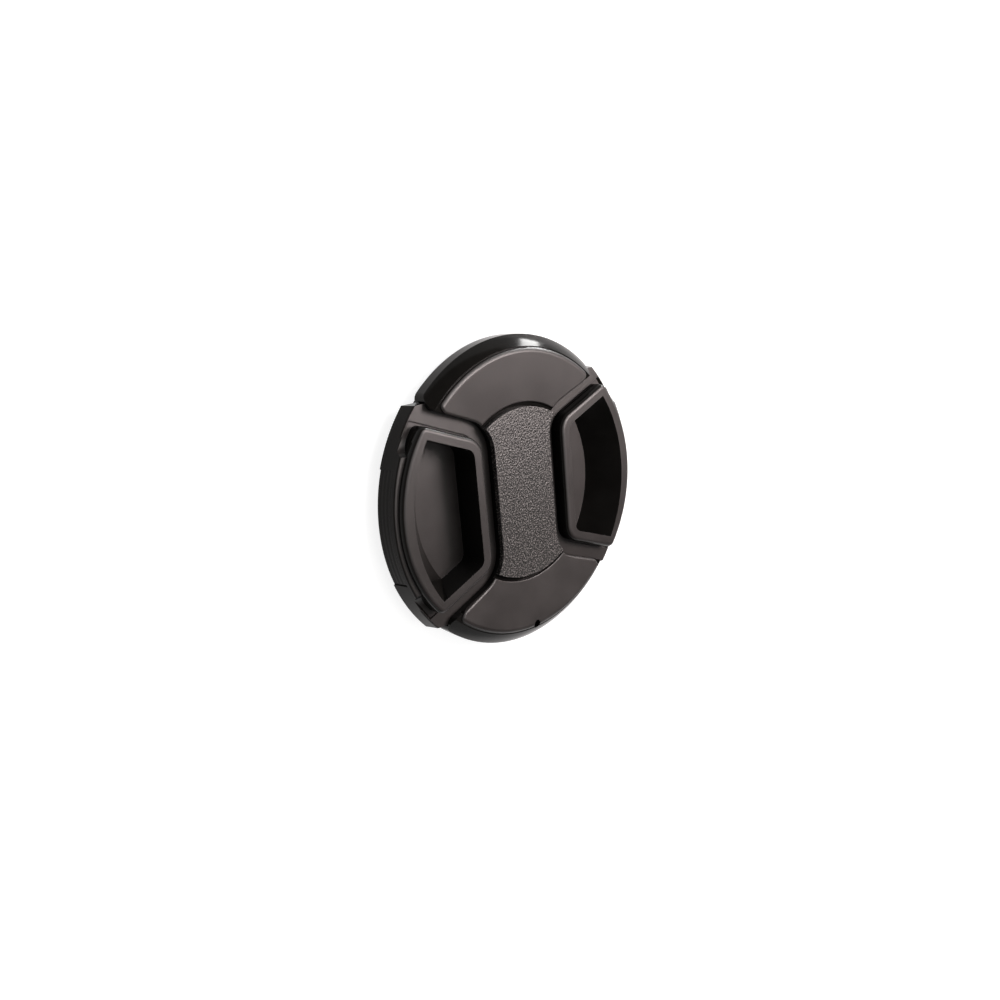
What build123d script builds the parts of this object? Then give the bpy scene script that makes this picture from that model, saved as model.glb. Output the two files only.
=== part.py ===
from build123d import *
import os
from math import cos, radians, sqrt, tan

# Clip-in camera lens cap with two sprung centre-pinch tabs, lying on its back with its face up.
# X runs through the two tabs, Y through the two crescents, and Z along the lens axis, out of the face.
# The origin is the middle of the back. Millimetres and degrees.

# Filter thread of the lens
thread_d = 58.0
thread_pitch = 0.75
thread_depth = 0.41

# Fit of the cap in the thread
spigot_gap = 0.3
jaw_bite = 0.3
jaw_relief = 0.1
seat_w = 1.4

# Clearances
slide_gap = 0.2
side_gap = 0.3
fit_gap = 0.05
stop_gap = 0.1

# Pinch travel of each tab
travel = 2.6

# Back plate and its spigot
spigot_depth = 3.2
spigot_land = 1.3
spigot_lead_w = 1.8
back_recess = 0.3
back_lip_w = 1.5
plate_t = 0.9
spigot_wall = 1.5
locating_lip_t = 1.2
locating_lip_h = 1.4
spine_t = 2.0
spine_half = 13.0

# Front cover
ring_wall = 2.0
ring_side_h = 2.3
bevel_w = 2.2
bevel_bulge = 0.12
crescent_t = 2.15
crescent_dish = 0.7
crescent_roll = 1.1
crescent_step = 0.5
crescent_corner = 1.6
crescent_edge = 0.2
crescent_side = 0.45
guide_wall = 1.4
ring_end_trim = 0.9
ring_end_corner = 1.7
ring_end_share = 0.85
deck_t = 0.95

# Centre badge
badge_r = 16.35
badge_t = 1.07
badge_edge = 0.12
groove_w = 0.85

# Tether hole through the lower crescent, leaving through the side of the ring
tether_r = 0.85
tether_inset = 0.7
tether_boss = 6.0

# Finger pockets
pocket_x = 12.2
pocket_half = 10.7
pocket_corner = 1.9
pocket_splay = 22.0
pocket_run = 4.6
pocket_floor_t = 1.0

# Frame round each pocket and the channel round the frame
frame_proud = 0.2
frame_w = 2.2
frame_outer_w = 2.45
frame_inset = 0.45
frame_arc_r = 26.3
frame_draft = 0.1
frame_corner = 1.5
frame_edge = 0.9
channel_w = 2.94

# Sliding shelf, rim and ledge of each tab
tab_reach = 1.3
guide_half = 20.5
shelf_h = 2.65
shelf_t = 1.4
shelf_overlap = 1.2
rim_t = 3.0
rim_edge = 0.2
ledge_rise = 0.8
ledge_draft = 0.8
ledge_edge = 0.5
ledge_half = 12.5
scoop_depth = 0.4
scoop_w = 0.4
scoop_r = 4.0
scoop_rim = 0.1

# Side grip on each tab's rim
grip_half = 10.5
grip_h = 3.1
grip_depth = 0.22
grip_ridges = 4
grip_ridge_h = 0.035

# Jaws that hold the thread
jaw_half = 9.8
jaw_t = 2.2
jaw_low = 1.25
jaw_ridges = 2

# Springs between the spine and the tabs
spring_room = 0.3
spring_wire = 0.4
spring_turns = 6
spring_y = 6.4
peg_l = 1.4
peg_gap = 0.15

# Radii that follow
thread_crest_r = thread_d / 2 - thread_depth
spigot_r = thread_crest_r - spigot_gap
spigot_in_r = spigot_r - spigot_wall
back_r = spigot_r - spigot_lead_w
stop_r = spigot_in_r - stop_gap
ring_r = spigot_r + seat_w
ring_in_r = ring_r - ring_wall
lip_r = ring_in_r - fit_gap
crescent_r = ring_r - bevel_w
crescent_in_r = badge_r + groove_w
tab_r = ring_r + tab_reach
rim_in_r = ring_r - rim_t
ledge_r = tab_r - ledge_draft
frame_r = ring_r - frame_inset
frame_centre_x = frame_r - frame_arc_r
pocket_r = frame_r - frame_outer_w
floor_r = pocket_r - pocket_run
jaw_root_r = thread_crest_r - jaw_relief
jaw_crest_r = thread_crest_r + jaw_bite
jaw_in_r = jaw_root_r - jaw_t

# Heights that follow
plate_top = back_recess + plate_t
seat_z = spigot_depth
tab_under = plate_top + slide_gap
floor_z = tab_under + pocket_floor_t
shelf_top = seat_z + shelf_h
shelf_under = shelf_top - shelf_t
cover_under = shelf_top + slide_gap
deck_top = cover_under + deck_t
badge_top = deck_top + badge_t
crescent_top = cover_under + crescent_t
bevel_top = crescent_top - crescent_step
ring_side_top = seat_z + ring_side_h
frame_top = crescent_top + frame_proud
ledge_z = shelf_top + ledge_rise
ledge_top = ledge_z + ledge_edge
rim_z = shelf_top - rim_edge

# Places that follow
guide_y = guide_half + side_gap
ring_end_x = sqrt(ring_r**2 - guide_y**2) - ring_end_trim
jaw_gap_half = jaw_half + 2 * side_gap
jaw_slot_x = sqrt(jaw_in_r**2 - jaw_half**2) - travel - side_gap
frame_x = pocket_x - frame_w
window_grow = frame_w + channel_w
shelf_x = pocket_x - window_grow - shelf_overlap
tether_y = -(crescent_r - tether_inset)
tether_z = seat_z + fit_gap + ring_side_h / 2
spring_z = (plate_top + shelf_under) / 2
spring_d = shelf_under - plate_top - 2 * spring_room
spring_r = (spring_d - spring_wire) / 2
peg_r = spring_r - spring_wire / 2 - peg_gap

# Reach of a cut past the part
past = 60.0


def turned(*points):
    # Solid turned about Z from corners given as radius and height
    return revolve(Plane.XZ * make_face(Polyline(*points, close=True)), Axis.Z)


def block(x, y, z):
    # Box between two values along each axis
    middle = [(low + high) / 2 for low, high in (x, y, z)]
    return Pos(*middle) * Box(x[1] - x[0], y[1] - y[0], z[1] - z[0])


def band(half, low, high):
    # Box across the whole part, of a given half width along Y
    return block((-past, past), (-half, half), (low, high))


def right_half(half, low, high):
    # The part of that box on the right
    return block((0, past), (-half, half), (low, high))


def prism(face, low, high):
    # Outline on the XY plane carried from one height to another
    return extrude(Pos(0, 0, low) * face, high - low)


def wedge(grow):
    # Straight sides of the right finger pocket, moved outwards and open to the rim
    slope = tan(radians(pocket_splay))
    inner_x = pocket_x - grow
    inner_y = pocket_half + grow / cos(radians(pocket_splay)) - grow * slope
    outer_y = inner_y + (past - inner_x) * slope
    corners = [(inner_x, inner_y), (inner_x, -inner_y), (past, -outer_y), (past, outer_y)]
    face = make_face(Polyline(*corners, close=True))
    return fillet(face.vertices().group_by(Axis.X)[0], pocket_corner + grow)


def rounded_top(solid, radius):
    # Soft edges round the highest faces
    return fillet(solid.faces().group_by(Axis.Z)[-1].edges(), radius)


def dish_edges(solid, kind, near, far):
    # Edges of one kind round the dished faces, with their middles between two distances from the axis
    edges = solid.faces().filter_by(GeomType.CONE).edges().filter_by(kind)
    return edges.filter_by(lambda edge: near < sqrt(edge.center().X ** 2 + edge.center().Y ** 2) < far)


def peg(x, y):
    # Peg along X that holds one end of a spring, from x onwards
    return Pos(x + peg_l / 2, y, spring_z) * Rot(0, 90, 0) * Cylinder(peg_r, peg_l)


def make_front_cover(windows):
    # Ring and bevel, with the flat that carries the crescents and the deck that carries the badge
    bulge = bevel_bulge / sqrt(2)
    crown = ((ring_r + crescent_r) / 2 + bulge, (ring_side_top + bevel_top) / 2 + bulge)
    bevel = ThreePointArc((crescent_r, bevel_top), crown, (ring_r, ring_side_top))
    rest = Polyline(
        (ring_r, ring_side_top),
        (ring_r, seat_z),
        (ring_in_r, seat_z),
        (ring_in_r, cover_under),
        (0, cover_under),
        (0, deck_top),
        (crescent_r - crescent_corner, deck_top),
        (crescent_r - crescent_corner, bevel_top),
        (crescent_r, bevel_top),
    )
    cover = revolve(Plane.XZ * make_face(bevel + rest), Axis.Z)
    # The lower part stops at the guides along which the tabs slide
    guides = band(guide_y + guide_wall, seat_z, cover_under) & Cylinder(ring_r - ring_wall / 2, past)
    boss_x = (-tether_boss / 2, tether_boss / 2)
    boss = block(boss_x, (-ring_r + ring_wall / 2, -guide_y), (seat_z, cover_under))
    cover = cover + guides + boss - band(guide_y, 0, cover_under)
    # Raised crescents, dished towards the badge, with rounded outer corners and a rolled outer edge
    plan = Circle(crescent_r) - Circle(crescent_in_r) - windows
    middle_r = (crescent_r + crescent_in_r) / 2
    outer = [corner for corner in plan.vertices() if corner.center().length > middle_r]
    roll_r = crescent_r - crescent_roll
    roll_z = crescent_top - crescent_roll
    half_roll = crescent_roll / sqrt(2)
    roll_middle = (roll_r + half_roll, roll_z + half_roll)
    roll = ThreePointArc((crescent_r, roll_z), roll_middle, (roll_r, crescent_top))
    inside = Polyline(
        (roll_r, crescent_top),
        (crescent_in_r, crescent_top - crescent_dish),
        (0, crescent_top - crescent_dish),
        (0, cover_under),
        (crescent_r, cover_under),
        (crescent_r, roll_z),
    )
    dish = revolve(Plane.XZ * make_face(roll + inside), Axis.Z)
    crescents = prism(fillet(outer, crescent_corner), cover_under, crescent_top) & dish
    sides = dish_edges(crescents, GeomType.HYPERBOLA, 0, crescent_r)
    sides += dish_edges(crescents, GeomType.BSPLINE, middle_r, crescent_r)
    crescents = fillet(sides, crescent_side)
    crescents = fillet(dish_edges(crescents, GeomType.CIRCLE, 0, middle_r), crescent_edge)
    # Ends of the ring at the windows, with corners rounded as far as the length of the ends allows
    ends = (Rectangle(2 * ring_end_x, 2 * past) & Circle(ring_r)) - windows
    corners = [corner for corner in ends.vertices() if abs(corner.X) > badge_r]
    flats = [edge.length for edge in ends.edges().filter_by(Axis.Y) if abs(edge.center().X) > badge_r]
    end_corner = min([ring_end_corner] + [ring_end_share * length for length in flats])
    cover &= prism(fillet(corners, end_corner), 0, past)
    cover += crescents
    # Tether hole from the face, then out through the side of the ring
    cover -= Pos(0, tether_y, tether_z + past / 2) * Cylinder(tether_r, past)
    cover -= Pos(0, tether_y - past / 2, tether_z) * Rot(90, 0, 0) * Cylinder(tether_r, past)
    return cover


def make_centre_badge(windows):
    # Bare plate on the deck
    return rounded_top(prism(Circle(badge_r) - windows, deck_top, badge_top), badge_edge)


def make_back_plate():
    # Disc standing on a low lip, with the spigot that enters the lens ring
    lip_in_r = back_r - back_lip_w
    plate = turned(
        (0, back_recess),
        (lip_in_r, back_recess),
        (lip_in_r, 0),
        (back_r, 0),
        (spigot_r, seat_z - spigot_land),
        (spigot_r, seat_z),
        (spigot_in_r, seat_z),
        (spigot_in_r, plate_top),
        (0, plate_top),
    )
    # The spigot is lower where the tabs slide over it
    plate -= band(guide_y, seat_z - slide_gap, past)
    # Lip that centres the front cover
    lip = turned(
        (lip_r - locating_lip_t, plate_top - fit_gap),
        (lip_r, plate_top - fit_gap),
        (lip_r, seat_z + locating_lip_h),
        (lip_r - locating_lip_t, seat_z + locating_lip_h),
    )
    lip -= band(guide_y + guide_wall + fit_gap, 0, past)
    boss_half = tether_boss / 2 + fit_gap
    lip -= block((-boss_half, boss_half), (-past, 0), (seat_z, past))
    # Spine under the deck, with a peg for each spring
    spine = block((-spine_t / 2, spine_t / 2), (-spine_half, spine_half), (back_recess, cover_under))
    for y in (spring_y, -spring_y):
        spine += peg(spine_t / 2, y) + peg(-spine_t / 2 - peg_l, y)
    plate = plate + lip + spine
    # Slots through which the jaws reach the thread
    slot = block((jaw_slot_x, past), (-jaw_gap_half, jaw_gap_half), (-past, past))
    return plate - slot - mirror(slot, Plane.YZ)


def make_right_tab():
    # Shelf that slides under the cover, and the rim outside it, with one lean up to the ledge
    lean = ledge_draft / (ledge_z - seat_z)
    rim_r = tab_r - lean * (rim_z - seat_z)
    wall = [(tab_r, seat_z), (rim_r, rim_z), (rim_r - rim_edge, shelf_top)]
    shelf = block((shelf_x, past), (-guide_half, guide_half), (shelf_under, shelf_top))
    shelf &= turned((0, seat_z), *wall, (0, shelf_top))
    rim = turned((rim_in_r, seat_z), *wall, (rim_in_r, shelf_top))
    tab = shelf + (rim & right_half(guide_half, 0, past))
    # Ledge over the middle of the rim, with a rounded edge
    scoop_low = shelf_top - scoop_depth
    scoop_y = ledge_half + sqrt(scoop_r**2 - (scoop_low + scoop_r - ledge_top) ** 2)
    half_edge = ledge_edge / sqrt(2)
    edge_mid = (ledge_r - ledge_edge + half_edge, ledge_z + half_edge)
    edge = ThreePointArc((ledge_r, ledge_z), edge_mid, (ledge_r - ledge_edge, ledge_top))
    rest = Polyline(
        (ledge_r - ledge_edge, ledge_top),
        (rim_in_r, ledge_top),
        (rim_in_r, seat_z),
        (tab_r, seat_z),
        (ledge_r, ledge_z),
    )
    ledge = revolve(Plane.XZ * make_face(edge + rest), Axis.Z)
    tab += ledge & right_half(scoop_y, 0, past)
    # Groove round the frame that opens into a scoop at each end of the ledge, closed by the edge of the rim
    scoop_out = rim_r - rim_edge - scoop_rim
    reach = turned(
        (0, scoop_low),
        (scoop_out - scoop_depth, scoop_low),
        (scoop_out + past, shelf_top + past),
        (0, shelf_top + past),
    )
    groove = prism(wedge(frame_w + scoop_w), scoop_low, past) & reach
    kept = block((rim_in_r - scoop_r, past), (-scoop_y, scoop_y), (0, past)) - Cylinder(rim_in_r, 2 * past)
    for y in (scoop_y, -scoop_y):
        kept -= Pos(past / 2, y, scoop_low + scoop_r) * Rot(0, 90, 0) * Cylinder(scoop_r, past)
    tab -= groove - kept
    # Frame with a sloped outer wall, kept inside the spigot below the seat
    sides = turned(
        (0, tab_under),
        (frame_arc_r + frame_draft, tab_under),
        (frame_arc_r + frame_draft, ledge_top),
        (frame_arc_r, frame_top),
        (0, frame_top),
    )
    frame = prism(wedge(frame_w), tab_under, frame_top) & Pos(frame_centre_x, 0, 0) * sides
    corners = frame.edges().filter_by(lambda edge: edge.center().X > pocket_x + frame_w)
    upright = [edge for edge in corners if abs((edge @ 1 - edge @ 0).Z) > frame_edge]
    frame = rounded_top(fillet(upright, frame_corner), frame_edge)
    frame -= turned((stop_r, 0), (past, 0), (past, seat_z), (stop_r, seat_z))
    # Jaw with ridges for the thread
    first = jaw_low + thread_pitch / 2
    bite = []
    for ridge in range(jaw_ridges):
        low = first + ridge * thread_pitch
        bite += [(jaw_root_r, low), (jaw_crest_r, low + thread_pitch / 2)]
    bite.append((jaw_root_r, first + jaw_ridges * thread_pitch))
    jaw = turned(
        (jaw_in_r, jaw_low),
        (jaw_root_r, jaw_low),
        *bite,
        (jaw_root_r, shelf_under),
        (jaw_in_r, shelf_under),
    )
    tab = tab + frame + (jaw & right_half(jaw_half, 0, past))
    # Finger pocket with a sloped outer wall
    rise = frame_top - floor_z
    far_r = floor_r + 2 * pocket_run
    bowl = turned((0, floor_z), (floor_r, floor_z), (far_r, floor_z + 2 * rise), (0, floor_z + 2 * rise))
    tab -= prism(wedge(0), floor_z, past) & bowl
    # Shallow side grip with ridges along the rim
    grip = [(past, seat_z + grip_h), (past, 0)]
    for step in range(2 * grip_ridges + 1):
        z = seat_z + grip_h * step / (2 * grip_ridges)
        depth = grip_depth - grip_ridge_h * (step % 2)
        grip.append((tab_r - lean * (z - seat_z) - depth, z))
    tab -= turned(*grip) & right_half(grip_half, 0, past)
    for y in (spring_y, -spring_y):
        tab += peg(frame_x - peg_l, y)
    return tab


def make_right_spring(y):
    # Coil spring along X from the spine to the right tab
    length = frame_x - spine_t / 2
    coil_l = length - spring_wire - 2 * fit_gap
    path = Helix(coil_l / spring_turns, coil_l, spring_r)
    wire = sweep(Plane(path @ 0, z_dir=path % 0) * RegularPolygon(spring_wire / 2, 6), path)
    return Pos(spine_t / 2 + spring_wire / 2 + fit_gap, y, spring_z) * Rot(0, 90, 0) * wire


right_window = wedge(window_grow)
windows = right_window + mirror(right_window, Plane.YZ)
right_tab = make_right_tab()
right_upper_spring = make_right_spring(spring_y)
right_lower_spring = make_right_spring(-spring_y)

os.makedirs("parts", exist_ok=True)
export_step(make_front_cover(windows), "parts/front_cover.step")
export_step(make_centre_badge(windows), "parts/centre_badge.step")
export_step(make_back_plate(), "parts/back_plate.step")
export_step(right_tab, "parts/right_tab.step")
export_step(mirror(right_tab, Plane.YZ), "parts/left_tab.step")
export_step(right_upper_spring, "parts/right_upper_spring.step")
export_step(right_lower_spring, "parts/right_lower_spring.step")
export_step(mirror(right_upper_spring, Plane.YZ), "parts/left_upper_spring.step")
export_step(mirror(right_lower_spring, Plane.YZ), "parts/left_lower_spring.step")
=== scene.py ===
import math

import bmesh
import bpy
from mathutils import Euler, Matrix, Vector, noise


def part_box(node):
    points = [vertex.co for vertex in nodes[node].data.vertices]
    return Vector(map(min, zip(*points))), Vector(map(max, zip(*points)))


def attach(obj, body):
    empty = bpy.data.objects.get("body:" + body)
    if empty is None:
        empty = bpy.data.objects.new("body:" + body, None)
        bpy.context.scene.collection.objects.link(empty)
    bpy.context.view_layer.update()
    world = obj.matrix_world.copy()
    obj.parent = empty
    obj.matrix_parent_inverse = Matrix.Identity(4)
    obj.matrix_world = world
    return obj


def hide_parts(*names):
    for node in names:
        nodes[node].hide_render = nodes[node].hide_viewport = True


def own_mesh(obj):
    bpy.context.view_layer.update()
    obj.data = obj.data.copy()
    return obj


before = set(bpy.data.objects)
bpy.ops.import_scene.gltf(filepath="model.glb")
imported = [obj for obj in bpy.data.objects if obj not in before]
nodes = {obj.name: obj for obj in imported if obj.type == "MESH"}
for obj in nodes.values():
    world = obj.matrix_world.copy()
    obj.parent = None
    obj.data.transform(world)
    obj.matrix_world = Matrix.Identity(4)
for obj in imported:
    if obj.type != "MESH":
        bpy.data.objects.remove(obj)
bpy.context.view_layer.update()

mm = 0.001
noiseSpan = (0.3, 0.7)  # where most of a noise texture's values lie
edgeSamples = 4  # rays that find the worn edges
print("frame in place:", ", ".join(sorted(nodes)))


# Shader helpers

def addNode(tree, kind, **values):
    node = tree.nodes.new(kind)
    for name, value in values.items():
        setattr(node, name, value)
    return node


def startMaterial(name):
    material = bpy.data.materials.new(name)
    material.use_nodes = True
    tree = material.node_tree
    shader = tree.nodes["Principled BSDF"]
    place = addNode(tree, "ShaderNodeTexCoord")
    return material, tree, shader, place


def addNoise(tree, place, sizeMm, detail=2.0):
    grain = addNode(tree, "ShaderNodeTexNoise")
    grain.inputs["Scale"].default_value = 1 / (sizeMm * mm)
    grain.inputs["Detail"].default_value = detail
    tree.links.new(place.outputs["Object"], grain.inputs["Vector"])
    return grain.outputs["Fac"]


def addRange(tree, source, low, high, toLow, toHigh):
    span = addNode(tree, "ShaderNodeMapRange")
    span.inputs["From Min"].default_value = low
    span.inputs["From Max"].default_value = high
    span.inputs["To Min"].default_value = toLow
    span.inputs["To Max"].default_value = toHigh
    tree.links.new(source, span.inputs["Value"])
    return span.outputs["Result"]


def addMath(tree, operation, first, second):
    result = addNode(tree, "ShaderNodeMath", operation=operation)
    tree.links.new(first, result.inputs[0])
    tree.links.new(second, result.inputs[1])
    return result.outputs[0]


def addColours(tree, source, dark, light, span=noiseSpan):
    ramp = addNode(tree, "ShaderNodeValToRGB")
    ramp.color_ramp.elements[0].position = span[0]
    ramp.color_ramp.elements[0].color = (*dark, 1)
    ramp.color_ramp.elements[1].position = span[1]
    ramp.color_ramp.elements[1].color = (*light, 1)
    tree.links.new(source, ramp.inputs["Fac"])
    return ramp.outputs["Color"]


def addBump(tree, height, depthMm, edgeMm=0):
    bump = addNode(tree, "ShaderNodeBump")
    bump.inputs["Distance"].default_value = depthMm * mm
    tree.links.new(height, bump.inputs["Height"])
    if edgeMm:
        worn = addNode(tree, "ShaderNodeBevel", samples=edgeSamples)
        worn.inputs["Radius"].default_value = edgeMm * mm
        tree.links.new(worn.outputs["Normal"], bump.inputs["Normal"])
    return bump


def addBlend(tree, mask, low, high):
    # Sockets 2 and 3 of a mix take numbers, 6 and 7 take colours
    mix = addNode(tree, "ShaderNodeMix", data_type="FLOAT")
    tree.links.new(mask, mix.inputs[0])
    tree.links.new(low, mix.inputs[2])
    tree.links.new(high, mix.inputs[3])
    return mix.outputs[0]


def addTint(tree, mask, low, high):
    mix = addNode(tree, "ShaderNodeMix", data_type="RGBA")
    tree.links.new(mask, mix.inputs[0])
    tree.links.new(low, mix.inputs[6])
    tree.links.new(high, mix.inputs[7])
    return mix.outputs[2]


# Black plastic: satin where fingers and eyes rest, polished on the rim and down in the grooves; there
# and on upright walls the colour is painted darker, as shade

coverPlastic = {
    "dark": (0.0092, 0.0074, 0.0069),
    "light": (0.0136, 0.0112, 0.0106),
    # painted shade: a darker colour for the rim bevel, the crescents' foot, the grooves and upright
    # walls
    "shadeDark": (0.0036, 0.0034, 0.0031),
    "shadeLight": (0.0054, 0.0051, 0.0047),
    "patchMm": 6.0,
    "detail": 3.0,
    "satin": (0.38, 0.43),  # roughness, from and to
    "polished": (0.10, 0.15),
    "satinShine": 0.40,
    "polishedShine": 0.08,
    "grainMm": 0.09,
    "grainDepthMm": 0.010,
    "polishedGrain": 0.06,  # share of the grain that is left where it is polished
    "edgeMm": 0.10,
    "rimRadiusMm": 27.42,  # polished outside this
    "grooveMm": 7.35,  # polished below this height
    "footMm": 7.92,  # the same at the foot of the crescents
    "footRadiusMm": 25.6,  # the foot's height holds from here outwards
    "footRampMm": 1.0,
    "softMm": 0.03,
}
# Upright walls are polished and painted darker as shade; the polish and the painted shade fade out
# between steep and level, read on the normal's Z
tabPlastic = dict(coverPlastic, steep=0.62, level=0.93)
backPlastic = dict(
    coverPlastic,
    dark=(0.0100, 0.0090, 0.0086),
    light=(0.0146, 0.0134, 0.0128),
    patchMm=8.0,
    satin=(0.42, 0.50),
    polished=(0.20, 0.28),
    grainMm=0.13,
    grainDepthMm=0.012,
    steep=0.4,
    level=0.8,
)


def findRim(tree, place, look):
    # 1 on the bevel, at the foot of the crescents and in the grooves, 0 on the crescents: where the
    # polish and the painted shade go
    flat = addNode(tree, "ShaderNodeVectorMath", operation="MULTIPLY")
    flat.inputs[1].default_value = (1, 1, 0)
    tree.links.new(place.outputs["Object"], flat.inputs[0])
    reach = addNode(tree, "ShaderNodeVectorMath", operation="LENGTH")
    tree.links.new(flat.outputs["Vector"], reach.inputs[0])
    reach = reach.outputs["Value"]
    parts = addNode(tree, "ShaderNodeSeparateXYZ")
    tree.links.new(place.outputs["Object"], parts.inputs[0])
    foot = look["footRadiusMm"] * mm
    footStart = (look["footRadiusMm"] - look["footRampMm"]) * mm
    limit = addRange(tree, reach, footStart, foot, look["grooveMm"] * mm, look["footMm"] * mm)
    above = addMath(tree, "SUBTRACT", parts.outputs["Z"], limit)
    soft = look["softMm"]
    low = addRange(tree, above, -soft * mm, soft * mm, 1, 0)
    rim = look["rimRadiusMm"]
    outside = addRange(tree, reach, (rim - soft) * mm, (rim + soft) * mm, 0, 1)
    return addMath(tree, "MAXIMUM", low, outside)


def findWalls(tree, place, look):
    # 1 on upright walls, 0 on what faces up or down: where the polish and the painted shade go
    parts = addNode(tree, "ShaderNodeSeparateXYZ")
    tree.links.new(place.outputs["Normal"], parts.inputs[0])
    size = addNode(tree, "ShaderNodeMath", operation="ABSOLUTE")
    tree.links.new(parts.outputs["Z"], size.inputs[0])
    return addRange(tree, size.outputs[0], look["steep"], look["level"], 1, 0)


def makePlastic(name, look, findPolishAndShade):
    material, tree, shader, place = startMaterial(name)
    patches = addNoise(tree, place, look["patchMm"], look["detail"])
    grain = addNoise(tree, place, look["grainMm"], look["detail"])
    mask = findPolishAndShade(tree, place, look)
    plain = addColours(tree, patches, look["dark"], look["light"])
    # the darker colour here is painted shade; the polish is the roughness and shine below
    shadedTone = addColours(tree, patches, look["shadeDark"], look["shadeLight"])
    tree.links.new(addTint(tree, mask, plain, shadedTone), shader.inputs["Base Color"])
    satin = addRange(tree, patches, *noiseSpan, *look["satin"])
    polished = addRange(tree, patches, *noiseSpan, *look["polished"])
    tree.links.new(addBlend(tree, mask, satin, polished), shader.inputs["Roughness"])
    shine = addRange(tree, mask, 0, 1, look["satinShine"], look["polishedShine"])
    tree.links.new(shine, shader.inputs["Specular IOR Level"])
    bump = addBump(tree, grain, look["grainDepthMm"], look["edgeMm"])
    tree.links.new(addRange(tree, mask, 0, 1, 1, look["polishedGrain"]), bump.inputs["Strength"])
    tree.links.new(bump.outputs["Normal"], shader.inputs["Normal"])
    return material


def dress(name, material):
    mesh = nodes[name].data
    mesh.materials.clear()
    mesh.materials.append(material)


tabMaterial = makePlastic("tabPlastic", tabPlastic, findWalls)
dress("front_cover", makePlastic("coverPlastic", coverPlastic, findRim))
dress("left_tab", tabMaterial)
dress("right_tab", tabMaterial)
dress("back_plate", makePlastic("backPlastic", backPlastic, findWalls))
print("cover, tabs and back plate dressed")

# Centre badge: the same plate with a pebbled grain moulded into its face; bright specks and a lighter
# tone in its colour are painted highlights, the glints on the pebbles

badgeLook = {
    "radiusMm": 16.35,  # the outline is that of the solid
    "halfWidthMm": 7.06,
    "straightMm": 9.42,
    "waistRadiusMm": 7.04,
    "pebbleMm": 0.36,
    "pebbleDepthMm": 0.040,
    "pebbleLift": 0.5,
    "pebbleSteepness": 0.9,
    "finePebbles": {"share": 0.6, "times": 1.9, "shift": (7.3, 1.9, 4.2)},
    "edgeMm": 0.25,
    "edgeDropMm": 0.03,
    "rows": 400,
    "columns": 190,
    "evenRows": 0.8,  # the rest of the spacing closes up towards the round ends
    "tip": 0.9999,  # keeps the first and last rows from shrinking to a point
    "dark": (0.0020, 0.0018, 0.0017),
    # light: the colour of the painted highlights on the pebbles
    "light": (0.1350, 0.1265, 0.1215),
    "glintGrainMm": 0.26,
    "glintGrainDetail": 1.0,
    "glintSpan": (0.50, 0.70),
    "roughness": (0.34, 0.44),
    "shine": 0.36,
    "grainDepthMm": 0.036,
}


def badgeHalf(y, look):
    # Half width of the plate at a height on it: straight, then hollowed by the two windows, then round
    half = look["halfWidthMm"]
    past = abs(y) - look["straightMm"]
    if past > 0:
        waist = look["waistRadiusMm"]
        half += waist - math.sqrt(max(waist**2 - past**2, 0))
    return min(half, math.sqrt(max(look["radiusMm"] ** 2 - y * y, 0)))


def pebbles(x, y, look):
    # Height of the grain from 0 in the creases to 1 on top of a pebble
    fine = look["finePebbles"]
    spot = Vector((x, y, 0)) / look["pebbleMm"]
    fineSpot = spot * fine["times"] + Vector(fine["shift"])
    height = noise.noise(spot) + fine["share"] * noise.noise(fineSpot)
    return max(0.0, min(1.0, look["pebbleLift"] + look["pebbleSteepness"] * height))


def makeBadge(look):
    low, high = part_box("centre_badge")
    mesh = bpy.data.meshes.new("grainedBadge")
    build = bmesh.new()
    rows, columns = look["rows"], look["columns"]
    even = look["evenRows"]
    grid = []
    for row in range(rows + 1):
        share = row / rows
        along = even * (1 - 2 * share) + (1 - even) * math.cos(math.pi * share)
        y = -look["radiusMm"] * along * look["tip"]
        half = badgeHalf(y, look)
        line = []
        for column in range(columns + 1):
            x = half * (2 * column / columns - 1)
            inset = min(half - abs(x), look["radiusMm"] - math.hypot(x, y))
            fade = min(1.0, max(0.0, inset / look["edgeMm"]))
            drop = (1 - fade) * look["edgeDropMm"]
            drop += (1 - pebbles(x, y, look)) * fade * look["pebbleDepthMm"]
            line.append(build.verts.new((x * mm, y * mm, high[2] - drop * mm)))
        grid.append(line)
    for line, following in zip(grid, grid[1:]):
        for column in range(columns):
            corners = (line[column], line[column + 1], following[column + 1], following[column])
            build.faces.new(corners).smooth = True
    left = [line[0] for line in grid]
    right = [line[-1] for line in grid]
    rim = grid[0][:-1] + right[:-1] + grid[-1][:0:-1] + left[:0:-1]
    foot = [build.verts.new((corner.co.x, corner.co.y, low[2])) for corner in rim]
    for index in range(len(rim)):
        following = (index + 1) % len(rim)
        build.faces.new((rim[following], rim[index], foot[index], foot[following]))
    build.faces.new(foot[::-1])
    build.to_mesh(mesh)
    build.free()
    badge = bpy.data.objects.new("grainedBadge", mesh)
    bpy.context.collection.objects.link(badge)
    material, tree, shader, place = startMaterial("badgePlastic")
    # the bright specks in the base colour are painted highlights; the same noise also sets the grain's
    # roughness and bump
    glintsAndGrain = addNoise(tree, place, look["glintGrainMm"], look["glintGrainDetail"])
    colours = addColours(tree, glintsAndGrain, look["dark"], look["light"], look["glintSpan"])
    tree.links.new(colours, shader.inputs["Base Color"])
    tree.links.new(addRange(tree, glintsAndGrain, *noiseSpan, *look["roughness"]), shader.inputs["Roughness"])
    bump = addBump(tree, glintsAndGrain, look["grainDepthMm"])
    tree.links.new(bump.outputs["Normal"], shader.inputs["Normal"])
    shader.inputs["Specular IOR Level"].default_value = look["shine"]
    mesh.materials.append(material)
    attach(badge, "cap_body")
    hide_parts("centre_badge")


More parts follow.
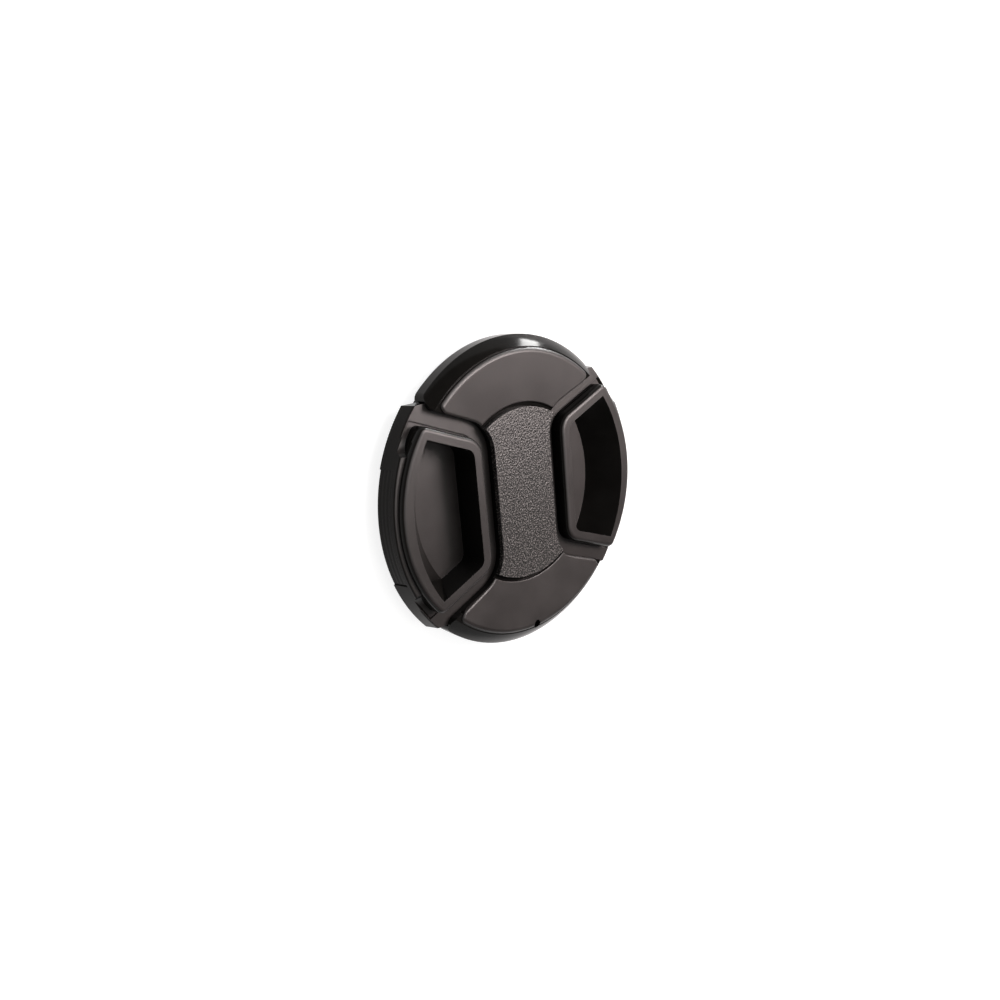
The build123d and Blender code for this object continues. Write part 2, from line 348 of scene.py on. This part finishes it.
makeBadge(badgeLook)
print("badge grained")

# Springs, drawn steel wire, each coiled at rest on the body; the real ones close up as a tab is
# pinched

springLook = {
    "wireMm": 0.4,
    "turns": 6,
    "stepsPerTurn": 28,
    "sides": 10,
    "travelMm": 2.6,  # of a tab
    "dark": (0.36, 0.36, 0.37),
    "light": (0.62, 0.62, 0.63),
    "streakMm": 0.25,
    "detail": 4.0,
    "roughness": (0.22, 0.38),
}


def makeSteel(look):
    material, tree, shader, place = startMaterial("springSteel")
    streaks = addNoise(tree, place, look["streakMm"], look["detail"])
    tree.links.new(addColours(tree, streaks, look["dark"], look["light"]), shader.inputs["Base Color"])
    tree.links.new(addRange(tree, streaks, *noiseSpan, *look["roughness"]), shader.inputs["Roughness"])
    shader.inputs["Metallic"].default_value = 1.0
    return material


def makeSpring(side, level, look, material):
    node = f"{side}_{level}_spring"
    low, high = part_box(node)
    wire = look["wireMm"] * mm / 2
    coil = (high[2] - low[2]) / 2 - wire
    middle = [(low[axis] + high[axis]) / 2 for axis in range(3)]
    start, end = low[0] + wire, high[0] - wire
    count = look["turns"] * look["stepsPerTurn"]
    build = bmesh.new()
    rings = []
    for step in range(count + 1):
        angle = 2 * math.pi * step / look["stepsPerTurn"]
        outward = Vector((0, math.cos(angle), math.sin(angle)))
        centre = Vector((start + (end - start) * step / count, middle[1], middle[2])) + outward * coil
        ring = []
        for corner in range(look["sides"]):
            turn = 2 * math.pi * corner / look["sides"]
            along = Vector((wire * math.sin(turn), 0, 0))
            ring.append(build.verts.new(centre + outward * wire * math.cos(turn) + along))
        rings.append(ring)
    for first, second in zip(rings, rings[1:]):
        for corner in range(look["sides"]):
            following = (corner + 1) % look["sides"]
            corners = (first[corner], first[following], second[following], second[corner])
            build.faces.new(corners).smooth = True
    build.faces.new(rings[0])
    build.faces.new(rings[-1])
    bmesh.ops.recalc_face_normals(build, faces=build.faces)
    mesh = bpy.data.meshes.new(f"{side}{level.title()}Coil")
    build.to_mesh(mesh)
    build.free()
    mesh.materials.append(material)
    spring = bpy.data.objects.new(mesh.name, mesh)
    bpy.context.collection.objects.link(spring)
    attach(spring, "cap_body")
    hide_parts(node)
    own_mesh(spring)


steel = makeSteel(springLook)
for side in ("left", "right"):
    for level in ("upper", "lower"):
        makeSpring(side, level, springLook, steel)
print("springs coiled")

# Floor, pale and plain, lit from below as on a light table, that curves up into a wall all round

floorLook = {
    "flatRadius": 2.2,
    "coveRadius": 0.5,
    "wallHeight": 0.9,
    "coveSteps": 8,
    "sides": 64,
    "dark": (0.29, 0.29, 0.29),
    "light": (0.31, 0.31, 0.31),
    "patchMm": 90.0,
    "roughness": 0.7,
    "shine": 0.1,
    "glow": 0.85,
}


def makeFloor(look):
    mesh = bpy.data.meshes.new("floor")
    flat, cove, sides = look["flatRadius"], look["coveRadius"], look["sides"]
    profile = []
    for step in range(look["coveSteps"] + 1):
        angle = math.pi / 2 * step / look["coveSteps"]
        profile.append((flat + cove * math.sin(angle), cove * (1 - math.cos(angle))))
    profile.append((flat + cove, look["wallHeight"]))
    corners = []
    for radius, height in profile:
        for side in range(sides):
            angle = 2 * math.pi * side / sides
            corners.append((radius * math.cos(angle), radius * math.sin(angle), height))
    faces = [tuple(range(sides))]
    for ring in range(len(profile) - 1):
        for side in range(sides):
            first, second = ring * sides + side, ring * sides + (side + 1) % sides
            faces.append((second, first, first + sides, second + sides))
    mesh.from_pydata(corners, [], faces)
    floor = bpy.data.objects.new("floor", mesh)
    bpy.context.collection.objects.link(floor)
    material, tree, shader, place = startMaterial("paleFloor")
    patches = addNoise(tree, place, look["patchMm"])
    tree.links.new(addColours(tree, patches, look["dark"], look["light"]), shader.inputs["Base Color"])
    shader.inputs["Roughness"].default_value = look["roughness"]
    shader.inputs["Specular IOR Level"].default_value = look["shine"]
    shader.inputs["Emission Color"].default_value = (1, 1, 1, 1)
    shader.inputs["Emission Strength"].default_value = look["glow"]
    mesh.materials.append(material)


makeFloor(floorLook)

# Studio: a soft box close on the right, a wide one overhead, one behind, a narrow strip, a dim room

lights = {
    "key": {
        "place": (0.118, 0.050, 0.190),  # each looks at the origin
        "size": (0.09, 0.09),
        "watts": 0.78,
        "colour": (1.0, 0.88, 0.86),
    },
    "overhead": {
        "place": (0.0, 0.15, 1.00),
        "size": (1.10, 1.10),
        "watts": 7.5,
        "colour": (1.0, 0.98, 0.97),
    },
    "back": {
        "place": (0.18, 0.40, 0.79),
        "size": (0.25, 0.25),
        "watts": 2.2,
        "colour": (1.0, 0.98, 0.97),
    },
    "strip": {
        "place": (0.625, 0.495, 0.14),
        "size": (0.13, 0.26),
        "watts": 4.6,
        "colour": (1.0, 0.99, 0.98),
    },
}
room = {"colour": (0.95, 0.97, 1.0), "strength": 0.03}


def addLight(name, look):
    data = bpy.data.lights.new(name, "AREA")
    data.shape = "RECTANGLE"
    data.size, data.size_y = look["size"]
    data.energy = look["watts"]
    data.color = look["colour"]
    light = bpy.data.objects.new(name, data)
    light.location = look["place"]
    light.rotation_euler = (-Vector(look["place"])).to_track_quat("-Z", "Y").to_euler()
    bpy.context.collection.objects.link(light)


for lightName, lightLook in lights.items():
    addLight(lightName, lightLook)
world = bpy.data.worlds.new("room")
world.use_nodes = True
world.node_tree.nodes["Background"].inputs["Color"].default_value = (*room["colour"], 1)
world.node_tree.nodes["Background"].inputs["Strength"].default_value = room["strength"]
bpy.context.scene.world = world
bpy.context.scene.view_settings.view_transform = "Standard"
print("floor and lights set")

# Camera where the photographer stood

cameraLook = {
    "place": (-0.11701, 0.04646, 0.13538),
    "turn": (-11.048, -41.995, -6.476),
    "lens": 34.02,
    "sensor": 36.0,
    "clipStart": 0.005,
}
cameraData = bpy.data.cameras.new("camera")
cameraData.sensor_width = cameraLook["sensor"]
cameraData.lens = cameraLook["lens"]
cameraData.clip_start = cameraLook["clipStart"]
camera = bpy.data.objects.new("camera", cameraData)
camera.location = cameraLook["place"]
camera.rotation_euler = Euler([math.radians(turn) for turn in cameraLook["turn"]], "XYZ")
bpy.context.collection.objects.link(camera)
bpy.context.scene.camera = camera
print("camera set")
